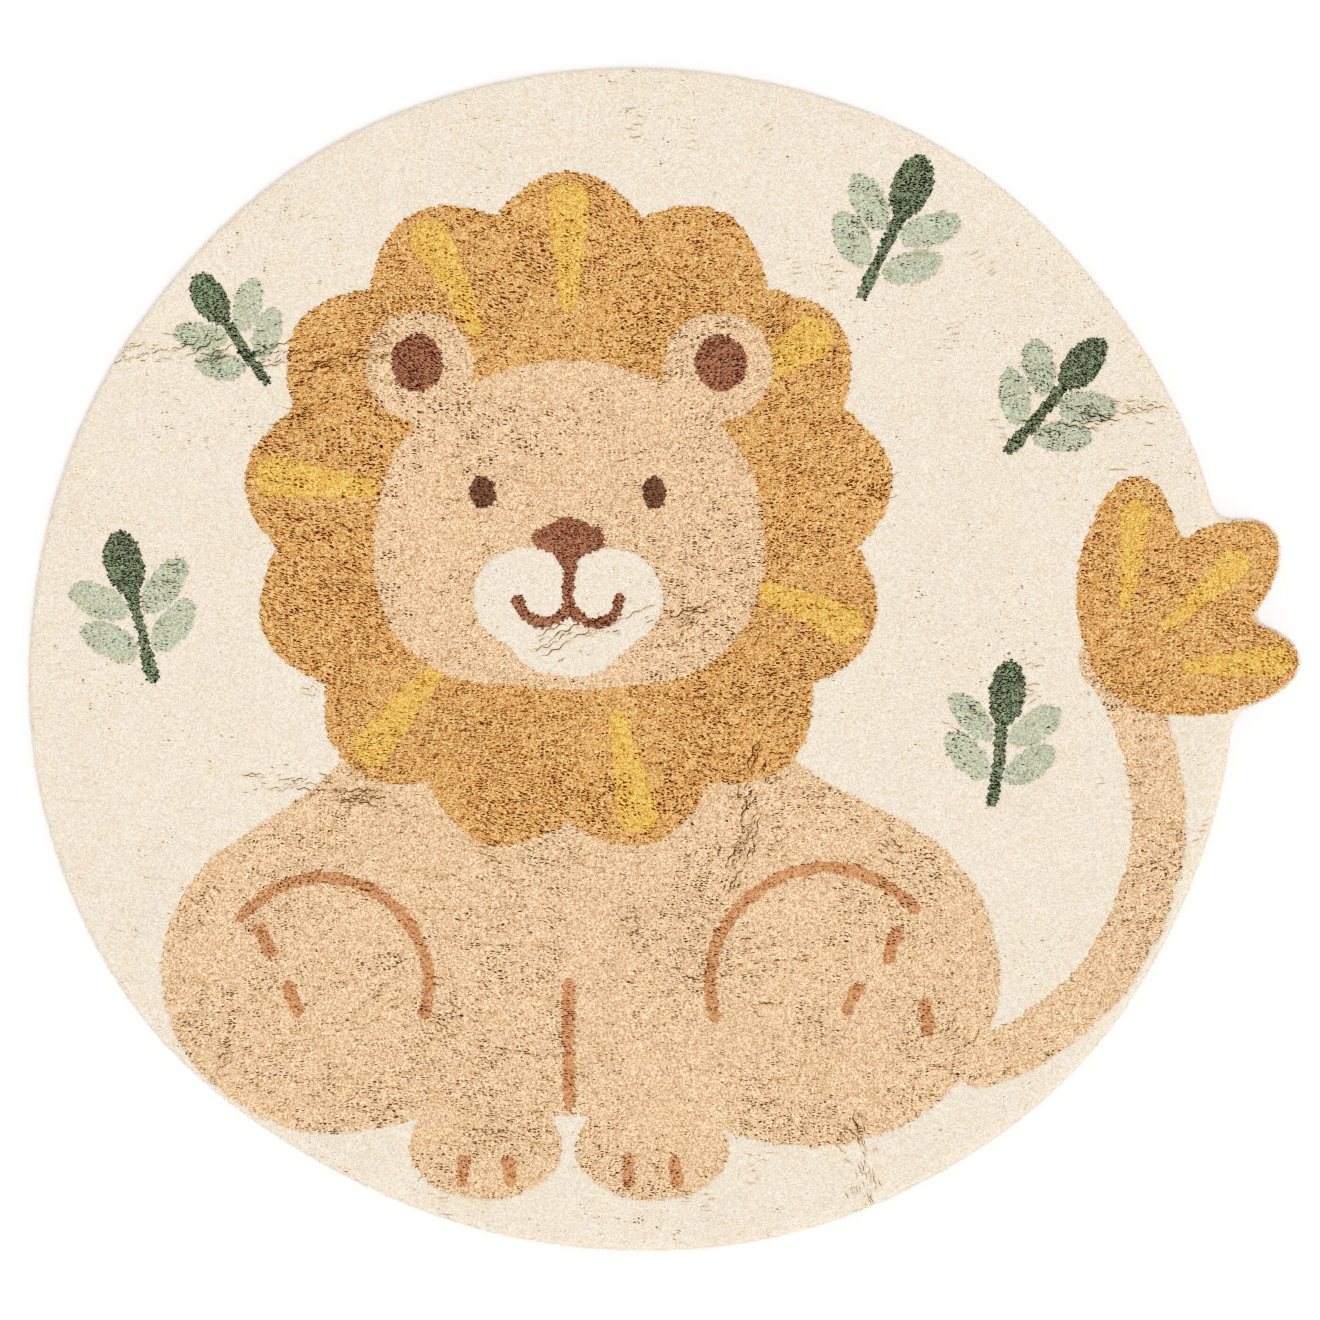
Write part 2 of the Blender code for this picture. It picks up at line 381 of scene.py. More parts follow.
def rust_lines(x, y):
    """The lines of the haunches and legs, the toes, and short marks in the fur."""
    middle = sum(PAWS_X) / 2
    lines = [
        bow(x, y, (HEAD[0] + 0.262, -0.330), 0.118, 40, 196, LINE),
        bow(x, y, (HEAD[0] - 0.252, -0.330), 0.108, -16, 140, LINE),
        stroke(x, y, (middle, -0.330), (middle, -0.455), LINE),
    ]
    for px in PAWS_X:
        for side in (-1, 1):
            knuckle = (px + side * 0.022, PAWS_Y - 0.010)
            tip = (px + side * 0.025, PAWS_Y - 0.032)
            lines.append(stroke(x, y, knuckle, tip, TOE_LINE))
    for *middle, heading in FUR_MARKS:
        start = along_heading(middle, heading, -MARK_LENGTH / 2)
        end = along_heading(start, heading, MARK_LENGTH)
        lines.append(stroke(x, y, start, end, MARK_LINE))
    return union(lines)


def on_head(dx, dy):
    return HEAD[0] + dx, HEAD[1] + dy


def mane(x, y):
    angle = np.arctan2(y - HEAD[1], x - HEAD[0])
    lobe = np.abs(np.cos(MANE_LOBES * (angle - math.pi / 2) / 2))
    away = np.hypot(x - HEAD[0], (y - HEAD[1]) / MANE_STRETCH)
    return away - (MANE_RADIUS - LOBE_DIP + LOBE_RISE * lobe)


def petals(x, y):
    """The streaks of the mane: one at the top and every second one round it."""
    marks = []
    for k in (0, *range(1, MANE_LOBES, 2)):
        angle = math.pi / 2 + 2 * math.pi * k / MANE_LOBES
        c, s = math.cos(angle), MANE_STRETCH * math.sin(angle)
        near, far = (on_head(reach * c, reach * s)
                     for reach in (PETAL_FROM, MANE_RADIUS - PETAL_INSET))
        marks.append(stroke(x, y, near, far, 0.009, 0.022))
    return union(marks)


def both_sides(x, y, half_length, half_width, dx, dy):
    """The same ellipse at the left and at the right of the face."""
    return [ellipse(x, y, half_length, half_width, 0, on_head(side * dx, dy))
            for side in (-1, 1)]


def face(x, y):
    head = blend([ellipse(x, y, 0.196, 0.168, 0, on_head(0, -0.012)),
                  *both_sides(x, y, 0.104, 0.104, 0.090, -0.065)], 0.03)
    return union([head, *both_sides(x, y, 0.056, 0.056, 0.152, 0.150)])


def muzzle(x, y):
    return blend([ellipse(x, y, 0.062, 0.048, 0, on_head(0, -0.120)),
                  *both_sides(x, y, 0.056, 0.051, 0.042, -0.086)], 0.012)


def nose_and_mouth(x, y):
    nose = blend([stroke(x, y, on_head(-0.024, -0.026), on_head(0.024, -0.026), 0.013),
                  stroke(x, y, on_head(0, -0.026), on_head(0, -0.052), 0.020, 0.009)], 0.012)
    lip = stroke(x, y, on_head(0, -0.050), on_head(0, -0.086), LINE)
    smile = [bow(x, y, on_head(side * 0.026, -0.086), 0.026, 185, 355, LINE)
             for side in (-1, 1)]
    return union([nose, lip, *smile])


def yarn_at(x, y):
    """The number of the yarn at each place, painted back to front."""
    pale, dark = sprigs(x, y)
    tail = bow(x, y, (0.275, -0.160), 0.262, -72, 38, 0.027)
    trunk = body(x, y)
    layers = (
        (pale, "sage"),
        (dark, "green"),
        (tail, "tan"),
        (tuft(x, y), "camel"),
        (tuft_streaks(x, y), "mustard"),
        (trunk, "tan"),
        (np.maximum(rust_lines(x, y), trunk), "rust"),
        (mane(x, y), "camel"),
        (petals(x, y), "mustard"),
        (face(x, y), "tan"),
        (union(both_sides(x, y, 0.026, 0.029, 0.155, 0.154)), "brown"),
        (muzzle(x, y), "cream"),
        (nose_and_mouth(x, y), "brown"),
        (union(both_sides(x, y, 0.0125, 0.0165, 0.088, 0.022)), "dark"),
    )
    found = np.full(x.shape, YARN_NAMES.index("cream"))
    for distance, name in layers:
        found[distance < 0] = YARN_NAMES.index(name)
    return found


# ---- Random fields


def field(x, y, length, seed):
    """A smooth random field from -1 to 1 with bumps of that length."""
    size = int(2 * REACH / length) + 3
    grid = np.random.default_rng(seed).uniform(-1, 1, (size, size))
    u, v = (np.clip((place + REACH) / length, 0, size - 1.001) for place in (x, y))
    i, j = u.astype(int), v.astype(int)
    u, v = u - i, v - j
    u, v = u * u * (3 - 2 * u), v * v * (3 - 2 * v)
    low = grid[i, j] * (1 - u) + grid[i + 1, j] * u
    high = grid[i, j + 1] * (1 - u) + grid[i + 1, j + 1] * u
    return low * (1 - v) + high * v


def ramp(value, low, high):
    """0 below low, 1 above high, smooth between."""
    share = np.clip((value - low) / (high - low), 0.0, 1.0)
    return share * share * (3 - 2 * share)


def layered(x, y, layers, axis=0):
    return sum(size * field(x, y, length, seed + axis) for length, size, seed in layers)


def wander(points, layers):
    """A random step at each place."""
    return np.stack([layered(*points.T, layers, k) for k in (0, 1)], -1)


def nap_line(x, y):
    """A number that stays the same along the nap."""
    return y + layered(x, y, COMB_BENDS, 1)


def flow(x, y, step=0.002):
    """The heading of the nap, in radians, in which clumps are drawn out."""
    rise = nap_line(x + step, y) - nap_line(x - step, y)
    over = nap_line(x, y + step) - nap_line(x, y - step)
    return np.arctan2(-rise, over)


# ---- Partings


def clump_borders(x, y):
    """The step from each place onto the nearest border between two clumps, a random
    number for that border, and how nearly it runs along the flow."""
    count = int(2 * REACH / CLUMP)
    rng = np.random.default_rng(SEED + 1)
    cx, cy = ((cell + rng.uniform(0.1, 0.9, cell.shape)) * CLUMP - REACH
              for cell in np.indices((count, count)))
    heading = flow(cx, cy) + rng.normal(0, CLUMP_TURN, cx.shape)
    stretch = np.sqrt(rng.uniform(*CLUMP_STRETCH, cx.shape))
    cos, sin = np.cos(heading), np.sin(heading)

    # The two nearest clumps: how near they are, how that changes, and which they are.
    i0, j0 = (((place + REACH) / CLUMP).astype(int) for place in (x, y))
    kept = np.full((2, 4, *x.shape), np.inf)
    for di, dj in np.ndindex(5, 5):
        i = np.clip(i0 + di - 2, 0, count - 1)
        j = np.clip(j0 + dj - 2, 0, count - 1)
        c, s, k = cos[i, j], sin[i, j], stretch[i, j]
        dx, dy = x - cx[i, j], y - cy[i, j]
        u, v = (dx * c + dy * s) / k, (dy * c - dx * s) * k
        away = np.hypot(u, v) + 1e-9
        clump = np.stack([away, (u * c / k - v * s * k) / away,
                          (u * s / k + v * c * k) / away, i * count + j])
        first, second = away < kept[0, 0], away < kept[1, 0]
        kept[1] = np.where(first, kept[0], np.where(second, clump, kept[1]))
        kept[0] = np.where(first, clump, kept[0])
    difference, *steep = (kept[1] - kept[0])[:3]
    size = steep[0] ** 2 + steep[1] ** 2 + 1e-6
    step = -np.stack(steep, -1) * (difference / size)[:, None]
    a, b = kept[:, 3].astype(int)  # the primes scatter the numbers of the two
    chance = ((a * b * 7919 + (a + b) * 104729) % 9973) / 9973
    around = flow(x, y)
    across = np.abs(steep[1] * np.cos(around) - steep[0] * np.sin(around))
    return step, chance, across / np.sqrt(size)


def fold_frame(fold, x, y):
    """How far along a fold, as a share of its length, and how far off its line."""
    x0, y0, x1, y1, bend = fold[:5]
    length = math.hypot(x1 - x0, y1 - y0)
    ux, uy = (x1 - x0) / length, (y1 - y0) / length
    along = ((x - x0) * ux + (y - y0) * uy) / length
    off = (y - y0) * ux - (x - x0) * uy
    return along, off - bend * 4 * along * (1 - along)


def folded_cracks(rng):
    """Cracks slantwise one behind the other along each fold, long and short ones."""
    for fold in FOLDS:
        x0, y0, x1, y1, bend = fold[:5]
        span = math.hypot(x1 - x0, y1 - y0)
        heading = math.atan2(y1 - y0, x1 - x0)
        slant = rng.choice((-1, 1)) * FOLD_SLANT
        for pace, spread, shortest, longest in FOLD_CRACKS:
            for _ in range(round(span / pace)):
                along = rng.uniform(0.02, 0.98)
                off = rng.normal(0, spread) + bend * 4 * along * (1 - along)
                place = x0 + (x1 - x0) * along, y0 + (y1 - y0) * along
                yield (*moved(*place, heading, 0, off), heading + slant + rng.normal(0, 0.13),
                       rng.uniform(shortest, longest), rng.uniform(0.80, 1.0))


def moved(x, y, heading, along, off):
    """A place moved along a heading, in radians, and to its left."""
    c, s = math.cos(heading), math.sin(heading)
    return x + along * c - off * s, y + along * s + off * c


def flow_at(x, y):
    return flow(np.array([x]), np.array([y]))[0]


def ruffle_at(x, y):
    return YARNS[YARN_NAMES[yarn_at(np.array([x]), np.array([y]))[0]]].ruffle


def loose_cracks(rng):
    """Small groups of cracks side by side, more of them in the yarns that part more."""
    for _ in range(CRACK_GROUPS):
        gx, gy = rng.uniform(-CRACK_REACH, CRACK_REACH, 2)
        ruffle = ruffle_at(gx, gy)
        keep = rng.uniform(0, 0.6) < ruffle
        heading = flow_at(gx, gy) + rng.normal(0, 0.30)
        shift = rng.uniform(-0.5, 0.5)
        lanes = rng.integers(2, 8)
        for lane in range(lanes):
            off = (lane - lanes / 2) * rng.uniform(0.0045, 0.0075)
            along = rng.normal(0, 0.006) + shift * off
            size = rng.uniform(0.005, 0.022) * (0.6 + ruffle)
            crack = (*moved(gx, gy, heading, along, off), heading + rng.normal(0, 0.16),
                     size, rng.uniform(0.55, 1.0))
            if keep:
                yield crack


def rows_of_cracks(rng):
    """Broken rows of short cracks that follow the nap."""
    for _ in range(CRACK_ROWS):
        x, y = rng.uniform(-CRACK_REACH, CRACK_REACH, 2)
        force = rng.uniform(0.35, 0.85)
        for _ in range(rng.integers(5, 17)):
            heading = flow_at(x, y)
            size = rng.uniform(0.003, 0.009)
            if ruffle_at(x, y) > 0.2:
                yield (x, y + rng.normal(0, 0.0006), heading + rng.normal(0, 0.22), size,
                       force * rng.uniform(0.6, 1.0))
            x, y = moved(x, y, heading, size + rng.uniform(0.0005, 0.0060), 0)


def make_cracks():
    """Rows of: x, y, heading, length, bend, force, half width."""
    rng = np.random.default_rng(SEED + 2)
    cracks = []
    for group, wide in zip((folded_cracks, loose_cracks, rows_of_cracks), CRACK_WIDTHS):
        for x, y, heading, length, force in group(rng):
            half = wide * rng.uniform(0.00020, 0.00038) * (0.75 + length / 0.05)
            bend = rng.uniform(-0.09, 0.09) * length
            cracks.append((x, y, heading, length, bend, force, half))
    return np.array(cracks)


def crack_frame(crack, x, y):
    """How far along a crack, -1 to 1 between its ends, and how far off its line."""
    cx, cy, heading, length, bend = crack.T[:5]
    c, s = np.cos(heading), np.sin(heading)
    dx, dy = x - cx, y - cy
    share = 2 * (dx * c + dy * s) / length
    inner = np.clip(share, -1, 1)
    line = bend * (1 - inner**2) + 0.035 * length * np.sin(8 * inner + 40 * cx)
    return share, dy * c - dx * s - line


CRACKS = make_cracks()


def nearest_crack(x, y, reach):
    """The number of the nearest crack within reach of each place, or -1."""
    near = np.full(x.shape, reach)
    found = np.full(x.shape, -1)
    order = np.argsort(x)
    ranked = x[order]
    for number, crack in enumerate(CRACKS):
        half = crack[3] / 2 + reach
        low, high = np.searchsorted(ranked, (crack[0] - half, crack[0] + half))
        here = order[low:high]
        here = here[np.abs(y[here] - crack[1]) < half]
        share, off = crack_frame(crack, x[here], y[here])
        beyond = np.maximum(np.abs(share) - 1, 0) * crack[3] / 2
        away = np.hypot(beyond, off)
        closer = away < near[here]
        near[here[closer]] = away[closer]
        found[here[closer]] = number
    return found


def partings(x, y, ruffle):
    """The step from each place onto the nearest parting and how open that is."""
    step, chance, along = clump_borders(x, y)
    chance = chance + 0.3 * layered(x, y, PARTING_LAYERS)
    openness = ramp(chance, 1.05 - 0.6 * ruffle, 1.50 - 0.6 * ruffle)
    openness *= ramp(along, 0.45, 0.85) * ramp(field(x, y, 0.0060, 33), -0.55, 0.15)
    number = nearest_crack(x, y, 1.6 * PARTING_REACH)
    crack = CRACKS[number]
    share, off = crack_frame(crack, x, y)
    crack_step = np.stack([off * np.sin(crack[:, 2]), -off * np.cos(crack[:, 2])], -1)
    force = np.where(number < 0, 0.0, crack[:, 5] * np.clip(1 - share**4, 0, 1))
    use = (number >= 0) & (force > 0.3 * openness)
    step = np.where(use[:, None], crack_step, step)
    return step, np.where(use, force, openness)


# ---- The surface on which the pile stands


def top_height(x, y):
    height = np.full(np.shape(x), THICKNESS)
    for length, heading, size, start in TOP_WAVES:
        c, s = direction(heading)
        phase = 2 * math.pi * (x * c + y * s) / length
        height += size * np.sin(phase + start)
    for fold in FOLDS:
        depth, half_width = fold[5:]
        along, off = fold_frame(fold, x, y)
        fade = np.clip(4.0 * along * (1.0 - along), 0.0, 1.0) ** 0.5
        height -= depth * fade * np.exp(-((off / half_width) ** 2))
    return height


def unit(vectors):
    return vectors / np.maximum(np.linalg.norm(vectors, axis=-1, keepdims=True), 1e-12)


def outward_of(x, y, step=2e-4):
    """The unit direction in which the distance from the outline grows."""
    return unit(np.stack([outline(x + step, y) - outline(x - step, y),
                          outline(x, y + step) - outline(x, y - step)], -1))


# The rim's profile as a smooth curve: distance run down along it, inset and height.
PROFILE = np.array([(inset, share * THICKNESS) for inset, share in RIM_PROFILE])
PROFILE_RUN = np.concatenate([[0], np.cumsum(np.hypot(*np.diff(PROFILE, axis=0).T))])
RUN_END = PROFILE_RUN[-1] - RIM_FREE  # how far outside the outline the flat pattern goes


def profile(run):
    """The inset and the height that far down the profile."""
    return np.stack([np.interp(run, PROFILE_RUN, PROFILE[:, k]) for k in (0, 1)], -1)


def wrap(x, y):
    """Lays the flat pattern on the rug: each place and its normal. The pattern outside
    the outline goes down the rim and under it."""
    distance = outline(x, y)
    run = distance + RIM_FREE
    outward = outward_of(x, y)
    inset, rim_height = profile(run).T
    # How the profile falls there, smoothed over a few millimetres of its run.
    fall = unit(profile(run - PROFILE_SOFT) - profile(run + PROFILE_SOFT))
    on_top = run <= 0
    shift = np.where(on_top, 0.0, -distance - inset)
    height = top_height(x, y) * np.where(on_top, 1.0, rim_height / THICKNESS)
    out, up = np.where(on_top, 0.0, fall[:, 1]), np.where(on_top, 1.0, fall[:, 0])
    return (np.column_stack([np.stack([x, y], -1) + outward * shift[:, None], height]),
            np.column_stack([outward * out[:, None], up]))


# ---- The lattice of tufts


def lattice():
    """Tuft centres and corners in the plane, and the corners of each tuft in turn.

    Centres lie in a hexagonal grid with bent rows. Each corner is the middle of the
    three centres round it, moved a little.
    """
    rng = np.random.default_rng(SEED)
    row_pitch = SPACING * math.sqrt(3) / 2
    half_rows = int(LATTICE_HALF[1] / row_pitch)
    half_columns = int(LATTICE_HALF[0] / SPACING) + half_rows // 2
    j, i = np.meshgrid(np.arange(-half_rows, half_rows + 1),
                       np.arange(-half_columns, half_columns + 1), indexing="ij")
    wide = i.shape[1]
    i, j = i.ravel(), j.ravel()
    centres = np.stack([SPACING * (i + j / 2), row_pitch * j], -1)
    centres += wander(centres, ROW_BENDS)
    centres += rng.uniform(-TUFT_JITTER, TUFT_JITTER, centres.shape) * SPACING

    size = len(centres)
    n = np.arange(size)
    east, north, both = (np.clip(n + k, 0, size - 1) for k in (1, wide, wide + 1))
    upper = (centres + centres[east] + centres[north]) / 3
    lower = (centres[east] + centres[north] + centres[both]) / 3
    corners = np.concatenate([upper, lower])
    corners += rng.uniform(-CORNER_JITTER, CORNER_JITTER, corners.shape) * SPACING
    rings = np.stack([n, size + n - 1, n - 1, size + n - 1 - wide, n - wide,
                      size + n - wide], -1)

    keep = outline(*centres.T) < RUN_END - 0.3 * SPACING
    keep &= (np.abs(i) < half_columns - 2) & (np.abs(j) < half_rows - 2)
    return centres[keep], corners, rings[keep]


def make_pile():
    """The whole pile as arrays. Tips come first and corners after them, both in the
    flat pattern and in place; yarn, turn and crack have one value for each tuft."""
    rng = np.random.default_rng(SEED + 4)
    centres, corners, rings = lattice()
    used, rings = np.unique(rings, return_inverse=True)
    rings = rings.reshape(-1, 6)
    corners = corners[used]

    # Which yarn each tuft has: the border between two yarns wobbles a little.
    yarn = yarn_at(*(centres + wander(centres, EDGE_WOBBLE)).T)
    relief_of = np.array([kind.relief for kind in YARNS.values()])
    ruffle_of = np.array([kind.ruffle for kind in YARNS.values()])

    # At a corner: the mean of its tufts, and whether their yarns differ.
    touching = np.bincount(rings.ravel(), minlength=len(corners))

    def at_corners(value):
        return np.bincount(rings.ravel(), np.repeat(value, 6), len(corners)) / touching

    relief = at_corners(relief_of[yarn])
    tall = relief_of[yarn] / relief_of.max()
    ruffle = at_corners(ruffle_of[yarn])
    mixed = at_corners(yarn**2) - at_corners(yarn) ** 2 > 1e-6

    # Corners slide onto the partings near them, and tips move off.
    step, openness = partings(*corners.T, ruffle)
    away = np.hypot(*step.T)
    inside = openness * (1 - ramp(away, 0.5 * PARTING_REACH, 1.5 * PARTING_REACH))
    corners = corners + step * (0.85 * np.clip(1.6 * inside, 0, 1))[:, None]
    tip_step, tip_open = partings(*centres.T, ruffle_of[yarn])
    tip_away = np.hypot(*tip_step.T)
    push = np.clip(1.3 * PARTING_REACH - tip_away, 0, None) * tip_open
    tips = centres - tip_step / np.maximum(tip_away, 1e-6)[:, None] * push[:, None]

    # Tips lean, most of them with their neighbours.
    tips = tips + LEAN * wander(centres, LEANS) * tall[:, None]
    tips += rng.normal(0, TIP_SCATTER, tips.shape)

    # Heights along the surface's normal.
    place_tips, normal_tips = wrap(*tips.T)
    place_corners, normal_corners = wrap(*corners.T)
    lift = rng.normal(0, TIP_NOISE, len(tips)) + 0.0003 * field(*centres.T, 0.012, 65)
    lift = np.clip(lift, -0.0012, 0.0008) * tall
    lift -= 0.0006 * tip_open * (tip_away < PARTING_REACH)
    pit_chance = 0.010 + 0.045 * ruffle
    pits = (rng.uniform(0, 1, len(corners)) < pit_chance) * rng.uniform(0.3, 0.9, len(corners))
    opened = np.maximum(inside * np.clip(ruffle / 0.3, 0.45, 1),
                        pits * np.clip(ruffle / 0.4, 0.3, 1))
    sunk = rng.uniform(0, 1, len(corners)) ** 2.2
    drop = relief * (0.6 + 1.2 * sunk) + PARTING_DEPTH * opened + 0.0006 * mixed
    place_tips += normal_tips * lift[:, None]
    place_corners -= normal_corners * drop[:, None]
    place_corners[:, 2] = np.maximum(place_corners[:, 2], LOWEST_CORNER)
    place_tips[:, 2] = np.maximum(place_tips[:, 2], LOWEST_TIP)

    # What the material reads: how deep a place lies in the pile, which it paints as shade in the
    # gaps, partings and yarn borders, and its tuft's tone.
    gap_shade_corners = np.clip(0.22 + 0.75 * sunk * relief / relief_of.max() + 0.60 * opened
                          + 0.12 * mixed, 0, 1)
    gap_shade_tips = np.clip(0.10 * rng.uniform(0, 1, len(tips)) + 0.25 * tip_open
                       * (tip_away < 0.8 * PARTING_REACH), 0, 1)
    flat = np.concatenate([tips, corners])
    # Less painted shade in the gaps where the pile turns down the rim.
    at_rim = ramp(outline(*flat.T), -0.004, 0.006)
    tone = rng.normal(0, 0.5, len(tips)) + 0.5 * field(*centres.T, 0.009, 71)
    return {
        "flat": flat,
        "place": np.concatenate([place_tips, place_corners]),
        "rings": rings + len(tips),
        "yarn": yarn,
        "turn": turn_of(centres),
        "crack": nearest_crack(*tips.T, DRAWN_REACH),
        "stir": ramp(layered(*flat.T, STIR_LAYERS), -1.0, 1.0),
        "gap": np.concatenate([gap_shade_tips, gap_shade_corners]) * (1 - 0.75 * at_rim),
        "tone": np.concatenate([tone, at_corners(tone)]),
        "comb": flat + wander(flat, COMB_BENDS),
    }


def make_fibres():
    """Loose ends of yarn that stand off the rim: each a slim spike with a closed foot,
    four points and four triangles."""
    rng = np.random.default_rng(SEED + 5)
    loop = outline_loop(FIBRES, 0.0)
    outward = outward_of(*loop.T)
    t = rng.uniform(*FIBRE_ZONE, FIBRES)[:, None]
    root, normal = wrap(*(loop + outward * t).T)
    heading = unit(normal + rng.normal(0, FIBRE_SPREAD, normal.shape))
    side = unit(np.cross(heading, (0.0, 0.0, 1.0)))
    over = np.cross(heading, side)
    length = rng.uniform(*FIBRE_LENGTH, FIBRES)[:, None]
    feet = [root - FIBRE_ROOT * normal
            + FIBRE_HALF * (math.cos(a) * side + math.sin(a) * over)
            for a in (0.0, 2 * math.pi / 3, 4 * math.pi / 3)]
    places = np.stack([*feet, root + heading * length], 1)
    places[..., 2] = np.maximum(places[..., 2], LOWEST_FIBRE)

    # In the flat pattern they lie outside everything else.
    along = np.stack([-outward[:, 1], outward[:, 0]], -1)
    foot = loop + outward * (RUN_END + 0.0006)
    flat = np.stack([foot - 0.0002 * along, foot + 0.0002 * along,
                     foot + 0.0004 * outward, foot + 0.0030 * outward], 1)
    return {"place": places, "flat": flat,
            "yarn": yarn_at(*(loop - 0.002 * outward).T),
            "tone": rng.normal(0, 0.6, FIBRES), "turn": turn_of(loop)}


def turn_of(points):
    return np.arctan2(points[:, 1], points[:, 0]) / (2 * math.pi) % 1.0


# ---- Materials


def add_node(tree, kind, links=(), values=None, **settings):
    """Adds a node, sets it and its values, and links its inputs: (input, socket)."""
    node = tree.nodes.new("ShaderNode" + kind)
    for key, value in settings.items():
        setattr(node, key, value)
    for key, value in (values or {}).items():
        node.inputs[key].default_value = value
    for key, source in links:
        tree.links.new(source, node.inputs[key])
    return node


# Each of the next gives the result socket of the node that it adds.


def maths(tree, operation, *terms):
    """A maths node on sockets or plain numbers."""
    plain = {k: term for k, term in enumerate(terms) if isinstance(term, (int, float))}
    links = [(k, term) for k, term in enumerate(terms) if k not in plain]
    return add_node(tree, "Math", links, plain, operation=operation).outputs[0]


def vector_maths(tree, operation, links, values=None):
    return add_node(tree, "VectorMath", links, values, operation=operation).outputs[0]


def attribute(tree, key, output="Fac"):
    return add_node(tree, "Attribute", attribute_name=key).outputs[output]


def noise(tree, place, scale, detail, output="Fac", **settings):
    return add_node(tree, "TexNoise", [("Vector", place)],
                    {"Scale": scale, "Detail": detail}, **settings).outputs[output]


def red_of(tree, colour):
    return add_node(tree, "SeparateColor", [("Color", colour)]).outputs["Red"]


def remap(tree, value, low, high, **settings):
    """0 up to low, 1 from high on."""
    return add_node(tree, "MapRange", [("Value", value)],
                    {"From Min": low, "From Max": high}, **settings).outputs[0]


def mix(tree, share, first, second):
    """From one colour to another."""
    return add_node(tree, "Mix", [("Factor", share)],
                    {"A": (*first, 1.0), "B": (*second, 1.0)}, data_type="RGBA").outputs["Result"]


def varied(tree, light, source, share):
    """Light made uneven by a source whose middle is 0.5."""
    return maths(tree, "MULTIPLY_ADD", maths(tree, "SUBTRACT", source, 0.5), share, light)


def new_material(name, looks):
    """A material, its nodes and its shader, which looks dull but for what is said."""
    material = bpy.data.materials.new(name)
    material.use_nodes = True
    surface = material.node_tree.nodes["Principled BSDF"]
    for key, value in (DULL | looks).items():
        surface.inputs[key].default_value = value
    return material, material.node_tree, surface


def finish_surface(tree, surface, colour, height, strength, distance):
    """Gives the shader its colour and, from a height, its bump."""
    tree.links.new(colour, surface.inputs["Base Color"])
    bump = add_node(tree, "Bump", [("Height", height)],
                    {"Strength": strength, "Distance": distance})
    tree.links.new(bump.outputs["Normal"], surface.inputs["Normal"])


def small_gap_shade(tree, place, pitted):
    """Painted shade of small gaps between the tufts, in rows along the nap, more of them in some
    patches: how deep their shade is, and how far a place is in one."""
    nap = attribute(tree, "comb", "Vector")

    def combed(along, across):
        return vector_maths(tree, "MULTIPLY", [(0, nap)], {1: (along, across, 1.0)})

    bends = noise(tree, place, GAP_BEND_SCALE, 1.0, "Color")
    bent = vector_maths(tree, "MULTIPLY_ADD", [(0, bends), (2, combed(*GAP_CELLS))],
                        {1: GAP_BENDS})
    cells = add_node(tree, "TexVoronoi", [("Vector", bent)], {"Scale": 1.0},
                     voronoi_dimensions="2D")
    patch = noise(tree, combed(*GAP_PATCHES), 1.0, 2.0, noise_dimensions="2D")
    patch = maths(tree, "MULTIPLY", patch, PATCH_WEIGHT)
    patch = maths(tree, "MULTIPLY_ADD", attribute(tree, "stir"), STIR_WEIGHT, patch)
    chance = maths(tree, "ADD", red_of(tree, cells.outputs["Color"]), patch)
    picked = remap(tree, chance, *(limit - pitted for limit in GAP_CHANCE))
    radius = maths(tree, "MULTIPLY_ADD", picked, GAP_GROWTH, GAP_RADIUS)
    inside = maths(tree, "SUBTRACT", radius, cells.outputs["Distance"])
    pit_shade = maths(tree, "MULTIPLY", remap(tree, inside, -GAP_EDGE, GAP_EDGE),
                remap(tree, picked, 0.0, 0.60))
    return maths(tree, "MULTIPLY", picked, pit_shade), pit_shade


def crack_here(tree, fibres):
    """How far inside the nearest crack a place is and how dark its painted line of shade is,
    from how far off its line the place is, half its width there and its darkness."""
    crack = add_node(tree, "SeparateXYZ",
                     [("Vector", attribute(tree, "crack", "Vector"))]).outputs
    within = maths(tree, "SUBTRACT", crack["Y"], maths(tree, "ABSOLUTE", crack["X"]))
    return varied(tree, within, fibres, 0.6), crack["Z"]


